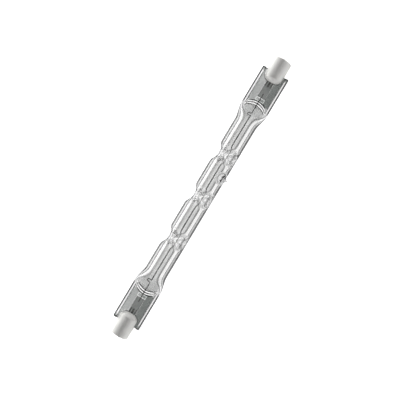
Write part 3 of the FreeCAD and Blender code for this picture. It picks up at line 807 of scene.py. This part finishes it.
def quartz_material(colours):
    """Clear quartz with painted reflection bands, by how far it turns across the lamp, and painted shade
    where it was pressed.

    Only light that enters is banded, and the normal's part along the lamp is left out. The mesh keeps
    the rest at its points, as quartz_painted_light says.
    """
    made, tree, shader = new_material("fused_quartz")
    shape = put(tree, "ShaderNodeNewGeometry").outputs
    across = worked_out_vector(tree, "MULTIPLY", shape["Normal"], (0.0, 1.0, 1.0))
    turned = worked_out_vector(tree, "NORMALIZE", across)
    facing = put(tree, "ShaderNodeLayerWeight", Blend=0.5, Normal=turned).outputs["Facing"]
    narrow = between(tree, attribute(tree, "narrow"), 0.0, 1.0, 1.0, 0.0)
    # The outline keeps its painted dark line where the bands are drawn in.
    outline = between(tree, facing, 0.5, 0.62, 0.0, 0.62)
    bands = worked_out(tree, "MAXIMUM", worked_out(tree, "MULTIPLY", facing, narrow), outline)
    # The +Y side takes the lighter painted bands and the -Y side the darker ones, as the light falls.
    aside = ROLL @ Vector((0, 1, 0))
    above = between(tree, worked_out_vector(tree, "DOT_PRODUCT", turned, aside), -0.05, 0.05)
    sheen = mix_colour(tree, above, banded(tree, bands, PAINTED_BANDS_BELOW), banded(tree, bands, PAINTED_BANDS_ABOVE))
    sideways = worked_out_vector(tree, "DOT_PRODUCT", object_place(tree), aside)
    out = worked_out(tree, "DIVIDE", worked_out(tree, "ABSOLUTE", sideways), MM)
    clear = mix_colour(tree, attribute(tree, "rail"), sheen, ramp_over(tree, out, PAINTED_RAIL_BANDS))
    # Painted shade on the pressed webs, the rails' ends and the flares.
    grey = mix_colour(tree, attribute(tree, "pressed"), clear, tuple(colours.pressed))
    # Painted highlight and painted shade lines beside the shoulder's arc.
    seam = ramp_over(tree, attribute(tree, "past_arc"), PAINTED_SEAM_LINES)
    grey = mix_colour(tree, pad_lines(tree, out), grey, PAD_COLOUR)
    grey = mix_colour(tree, dark_bar(tree, out), grey, FOLD_COLOUR)
    relit = {"blend_type": "LINEAR_LIGHT", "clamp_result": True}
    lined = mix_colour(tree, attribute(tree, "seam"), grey, seam, **relit)
    # Painted shade and highlights of the crimps and the exhaust tip.
    toned = mix_colour(tree, attribute(tree, "toned"), lined, attribute(tree, "tone"))
    # A surface tints by the root of its colour, and only where light enters.
    entering = worked_out_vector(tree, "MULTIPLY", toned, toned)
    tinted = mix_colour(tree, shape["Backfacing"], entering, WHITE)
    tree.links.new(tinted, shader.inputs["Base Color"])
    clear_quartz(tree, shader, attribute(tree, "thin"))
    return made


def bore_material():
    """The clear inner surface of the quartz."""
    made, tree, shader = new_material("quartz_bore")
    shader.inputs["Base Color"].default_value = BORE_COLOUR
    clear_quartz(tree, shader)
    return made


def ceramic_material(colours):
    """Unglazed ceramic: fine pores, faint cloudiness and a few darker specks."""
    made, tree, shader = new_material("unglazed_ceramic")
    place = object_place(tree)
    cloud = between(tree, mottle(tree, place, scale=420.0, detail=3.0), 0.35, 0.65)
    specks = between(tree, mottle(tree, place, scale=2600.0, detail=2.0), 0.66, 0.74)
    plain = mix_colour(tree, cloud, shaded(colours.ceramic, 0.96), tuple(colours.ceramic))
    spotted = mix_colour(tree, specks, plain, shaded(colours.ceramic, 0.82))
    tree.links.new(spotted, shader.inputs["Base Color"])
    shader.inputs["Roughness"].default_value = 0.72
    shader.inputs["Specular IOR Level"].default_value = 0.35
    pores = mottle(tree, place, scale=5200.0, detail=5.0, roughness=0.65)
    bump(tree, shader, pores, strength=0.35, distance=0.00008)
    return made


def cement_material(colours):
    """Grainy cement."""
    made, tree, shader = new_material("cap_cement")
    grain = mottle(tree, object_place(tree), scale=3500.0, detail=4.0, roughness=0.7)
    share = between(tree, grain, 0.35, 0.7)
    colour = mix_colour(tree, share, shaded(colours.cement, 0.72), tuple(colours.cement))
    tree.links.new(colour, shader.inputs["Base Color"])
    shader.inputs["Roughness"].default_value = 0.9
    bump(tree, shader, grain, strength=0.7, distance=0.00015)
    return made


# How deep the marks in metal are, in metres.
MARK_DEPTH = 0.00003


def drawn_marks(tree, stretch):
    """Fine marks, drawn out along the lamp by stretch."""
    place = put(tree, "ShaderNodeMapping", Vector=object_place(tree), Scale=(1.0 / stretch, 1.0, 1.0))
    return mottle(tree, place.outputs[0], scale=5000.0, detail=4.0, roughness=0.6)


def metal_material(name, colour, roughness, stretch, relief):
    """Metal with fine marks, which are lighter, rougher and raised."""
    made, tree, shader = new_material(name)
    marks = drawn_marks(tree, stretch)
    tint = mix_colour(tree, between(tree, marks, 0.3, 0.7), shaded(colour, 0.75), shaded(colour, 1.12))
    tree.links.new(tint, shader.inputs["Base Color"])
    rough = between(tree, marks, 0.3, 0.7, roughness - 0.07, roughness + 0.09)
    tree.links.new(rough, shader.inputs["Roughness"])
    shader.inputs["Metallic"].default_value = 1.0
    bump(tree, shader, marks, strength=relief, distance=MARK_DEPTH)
    return made


def foil_material(colours):
    """Thin rolled foil: drawn marks along the lamp, and the darker weld and edges that its points keep."""
    made, tree, shader = new_material("rolled_foil")
    marks = drawn_marks(tree, 12.0)
    share = between(tree, marks, 0.3, 0.7)
    plain = mix_colour(tree, share, shaded(colours.foil, 0.8), tuple(colours.foil))
    marked = mix_colour(tree, attribute(tree, "marks"), plain, shaded(colours.foil, 0.22))
    tree.links.new(marked, shader.inputs["Base Color"])
    shader.inputs["Roughness"].default_value = 0.45
    shader.inputs["Metallic"].default_value = 1.0
    bump(tree, shader, marks, strength=0.4, distance=MARK_DEPTH)
    return made


def dress(node, material):
    """Gives a solid of the frame its finish."""
    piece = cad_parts[node]
    piece.data.materials.clear()
    piece.data.materials.append(material)


# Operators. There is one for each piece or group of like pieces, and one for the stage.


class LAMP_OT_envelope(bpy.types.Operator):
    """Makes the quartz envelope: tube, crimped necks, exhaust tip and pressed seals"""

    bl_idname = "lamp.envelope"
    bl_label = "Quartz envelope"

    def execute(self, context):
        sizes, colours = context.scene.lamp_sizes, context.scene.lamp_colours
        grids = [(envelope_outside(sizes), False), (envelope_inside(sizes), True)]
        materials = [quartz_material(colours), bore_material()]
        piece = add_piece("quartz_glass", grids, materials, ["quartz_envelope"])
        for name, values in quartz_painted_light(*lamp_places(piece)).items():
            keep_at_points(piece, name, values)
        return {"FINISHED"}


POINTS_PER_TURN, WIRE_SIDES = 14, 7


class LAMP_OT_filament(bpy.types.Operator):
    """Winds the tungsten filament"""

    bl_idname = "lamp.filament"
    bl_label = "Filament"

    def execute(self, context):
        sizes, colours = context.scene.lamp_sizes, context.scene.lamp_colours
        wire = sizes.coil_wire / 2 / MM
        turn_radius = sizes.coil_diameter / 2 / MM - wire
        end = COIL_END - wire
        path, outward = helix(turn_radius, sizes.coil_pitch / MM, -end, end, POINTS_PER_TURN)
        grid = tube_along(path, outward, wire, WIRE_SIDES)
        finish = {"roughness": 0.42, "stretch": 1.0, "relief": 0.3}
        material = metal_material("coiled_tungsten", colours.tungsten, **finish)
        add_piece("filament_coil", [(grid, False)], [material], ["filament"])
        return {"FINISHED"}


class LAMP_OT_foils(bpy.types.Operator):
    """Makes the two sealing foils"""

    bl_idname = "lamp.foils"
    bl_label = "Sealing foils"

    def execute(self, context):
        sizes, colours = context.scene.lamp_sizes, context.scene.lamp_colours
        material = foil_material(colours)
        for side_name, side in SIDES.items():
            grid = foil_surface(sizes.foil_thickness / MM, side)
            name, nodes = f"sealing_foil_{side_name}", [f"foil_{side_name}"]
            piece = add_piece(name, [(grid, side < 0)], [material], nodes)
            x, y, _ = lamp_places(piece)
            keep_at_points(piece, "marks", foil_marks(x, y))
        return {"FINISHED"}


class LAMP_OT_leads(bpy.types.Operator):
    """Finishes the leads on both sides of the foils"""

    bl_idname = "lamp.leads"
    bl_label = "Leads"

    def execute(self, context):
        finish = {"roughness": 0.35, "stretch": 20.0, "relief": 0.3}
        material = metal_material("drawn_wire", context.scene.lamp_colours.wire, **finish)
        for side_name in SIDES:
            dress(f"inner_lead_{side_name}", material)
            dress(f"outer_lead_{side_name}", material)
        return {"FINISHED"}


class LAMP_OT_caps(bpy.types.Operator):
    """Finishes the ceramics, their cement and the contact buttons"""

    bl_idname = "lamp.caps"
    bl_label = "Caps"

    def execute(self, context):
        colours = context.scene.lamp_colours
        ceramic, cement = ceramic_material(colours), cement_material(colours)
        finish = {"roughness": 0.32, "stretch": 1.0, "relief": 0.3}
        nickel = metal_material("satin_nickel", colours.nickel, **finish)
        for side_name in SIDES:
            dress(f"ceramic_{side_name}", ceramic)
            dress(f"cement_{side_name}", cement)
            dress(f"contact_{side_name}", nickel)
        return {"FINISHED"}


# The camera looks square at the webs, which lie rolled.
CAMERA_HEIGHT = 275.5
CAMERA_LENS = 67.4
CAMERA_TURN = math.radians(-58.98)
CAMERA_SHIFT = (-0.84, -0.13)
# Soft lights that face the lamp: turn about Z, angle up, distance, length, height and radiance. The two
# long ones don't show in gloss.
PANELS = (
    (0.0, math.radians(20.5), 0.26, 0.8, 0.1, 8.7),
    (math.pi, math.radians(3.5), 0.26, 0.8, 0.045, 7.8),
    (math.radians(90.0), math.radians(14.0), 0.5, 0.3, 0.2, 1.2),
    (math.radians(-90.0), math.radians(14.0), 0.5, 0.3, 0.2, 1.2),
)
LONG_PANEL = 0.5
AMBIENT = 0.015
FLOOR_SHOWN, FLOOR_THROUGH = 0.93, 0.62
FLOOR_HALF = 3.0
LIGHT_BOUNCES, GLOSSY_BOUNCES = 24, 8


def seen_rays(tree):
    """1 for what the camera sees itself, and 1 for what it sees in gloss or through glass."""
    path = put(tree, "ShaderNodeLightPath").outputs
    bent = worked_out(tree, "MAXIMUM", path["Is Glossy Ray"], path["Is Transmission Ray"])
    return path["Is Camera Ray"], bent


def weighed(tree, one, one_weight, two, two_weight):
    """The sum of two values, each times its weight."""
    first = worked_out(tree, "MULTIPLY", one, one_weight)
    return worked_out(tree, "MULTIPLY_ADD", two, two_weight, first)


class LAMP_OT_stage(bpy.types.Operator):
    """Makes the floor, the soft lights, the surroundings and the camera"""

    bl_idname = "lamp.stage"
    bl_label = "Stage"

    def execute(self, context):
        scene, colours = context.scene, context.scene.lamp_colours
        self.add_floor(colours)
        for panel in PANELS:
            self.add_panel(*panel)
        self.add_surroundings(scene)
        self.add_camera(scene)
        scene.view_settings.view_transform = "Standard"
        scene.cycles.max_bounces = LIGHT_BOUNCES
        scene.cycles.transmission_bounces = LIGHT_BOUNCES
        scene.cycles.transparent_max_bounces = LIGHT_BOUNCES
        scene.cycles.glossy_bounces = GLOSSY_BOUNCES
        scene.cycles.caustics_refractive = False
        scene.cycles.caustics_reflective = False
        return {"FINISHED"}

    def add_floor(self, colours):
        """A wide pale floor, which glows for the camera and in what is seen by gloss or through glass."""
        mesh = bpy.data.meshes.new("floor")
        signs = ((-1, -1), (1, -1), (1, 1), (-1, 1))
        corners = [(x * FLOOR_HALF, y * FLOOR_HALF, TABLE_HEIGHT) for x, y in signs]
        mesh.from_pydata(corners, [], [(0, 1, 2, 3)])
        floor = bpy.data.objects.new("floor", mesh)
        bpy.context.scene.collection.objects.link(floor)
        made, tree, shader = new_material("pale_floor")
        shader.inputs["Base Color"].default_value = colours.floor
        shader.inputs["Roughness"].default_value = 1.0
        shader.inputs["Specular IOR Level"].default_value = 0.0
        direct, bent = seen_rays(tree)
        strength = weighed(tree, direct, FLOOR_SHOWN, bent, FLOOR_THROUGH)
        glow = put(tree, "ShaderNodeEmission", Strength=strength)
        both = put(tree, "ShaderNodeAddShader", _0=shader.outputs[0], _1=glow.outputs[0])
        tree.links.new(both.outputs[0], tree.nodes["Material Output"].inputs["Surface"])
        mesh.materials.append(made)

    def add_panel(self, turn, up, distance, length, height, radiance):
        """A soft light that faces the lamp. Its power is its radiance times pi times its area."""
        lamp = bpy.data.lights.new("soft_light", "AREA")
        lamp.shape = "RECTANGLE"
        lamp.size, lamp.size_y = length, height
        lamp.energy = radiance * math.pi * length * height
        panel = bpy.data.objects.new("soft_light", lamp)
        facing = Matrix.Rotation(turn, 3, "Z") @ Matrix.Rotation(up - math.pi / 2, 3, "X")
        panel.location = facing @ Vector((0.0, 0.0, distance))
        panel.rotation_euler = facing.to_euler()
        panel.visible_camera = False
        panel.visible_transmission = False
        panel.visible_glossy = length < LONG_PANEL
        bpy.context.scene.collection.objects.link(panel)

    def add_surroundings(self, scene):
        """A world that is pale to the camera, in gloss and through glass, and that lights little else."""
        world = bpy.data.worlds.new("surroundings")
        world.use_nodes = True
        scene.world = world
        tree = world.node_tree
        direction = put(tree, "ShaderNodeTexCoord").outputs["Generated"]
        parts = put(tree, "ShaderNodeSeparateXYZ", Vector=direction).outputs
        # In gloss and through glass, the surroundings are darker overhead and on the -Y side.
        overhead = between(tree, parts["Z"], 0.35, 0.75, 1.0, 0.35)
        beside = between(tree, parts["Y"], -0.5, 0.2, 0.5, 1.0)
        dim = worked_out(tree, "MULTIPLY", overhead, beside)
        direct, bent = seen_rays(tree)
        level = worked_out(tree, "MAXIMUM", weighed(tree, direct, 1.0, bent, dim), AMBIENT)
        tree.links.new(level, tree.nodes["Background"].inputs["Strength"])
        tree.nodes["Background"].inputs["Color"].default_value = WHITE

    def add_camera(self, scene):
        """A camera above the lamp, rolled with it."""
        lens = bpy.data.cameras.new("camera")
        lens.lens = CAMERA_LENS
        lens.sensor_width = 36.0
        camera = bpy.data.objects.new("camera", lens)
        above = Vector((*CAMERA_SHIFT, CAMERA_HEIGHT)) * MM
        camera.location = ROLL @ above
        camera.rotation_euler = (ROLL @ Matrix.Rotation(CAMERA_TURN, 3, "Z")).to_euler()
        scene.collection.objects.link(camera)
        scene.camera = camera


class LAMP_PT_panel(bpy.types.Panel):
    """Lists the lamp's pieces, sizes and colours"""

    bl_idname = "LAMP_PT_panel"
    bl_label = "Linear halogen lamp"
    bl_space_type = "VIEW_3D"
    bl_region_type = "UI"
    bl_category = "Lamp"

    def draw(self, context):
        for operator in OPERATORS:
            self.layout.operator(operator.bl_idname)
        for group in (context.scene.lamp_sizes, context.scene.lamp_colours):
            for name in type(group).__annotations__:
                self.layout.prop(group, name)


OPERATORS = (LAMP_OT_envelope, LAMP_OT_filament, LAMP_OT_foils, LAMP_OT_leads, LAMP_OT_caps, LAMP_OT_stage)
CLASSES = (LampSizes, LampColours, *OPERATORS, LAMP_PT_panel)


def register():
    for made in CLASSES:
        bpy.utils.register_class(made)
    bpy.types.Scene.lamp_sizes = bpy.props.PointerProperty(type=LampSizes)
    bpy.types.Scene.lamp_colours = bpy.props.PointerProperty(type=LampColours)


def unregister():
    del bpy.types.Scene.lamp_colours
    del bpy.types.Scene.lamp_sizes
    for made in reversed(CLASSES):
        bpy.utils.unregister_class(made)


def main():
    register()
    bpy.ops.lamp.envelope()
    bpy.ops.lamp.filament()
    bpy.ops.lamp.foils()
    bpy.ops.lamp.leads()
    bpy.ops.lamp.caps()
    bpy.ops.lamp.stage()


if __name__ == "__main__":
    main()
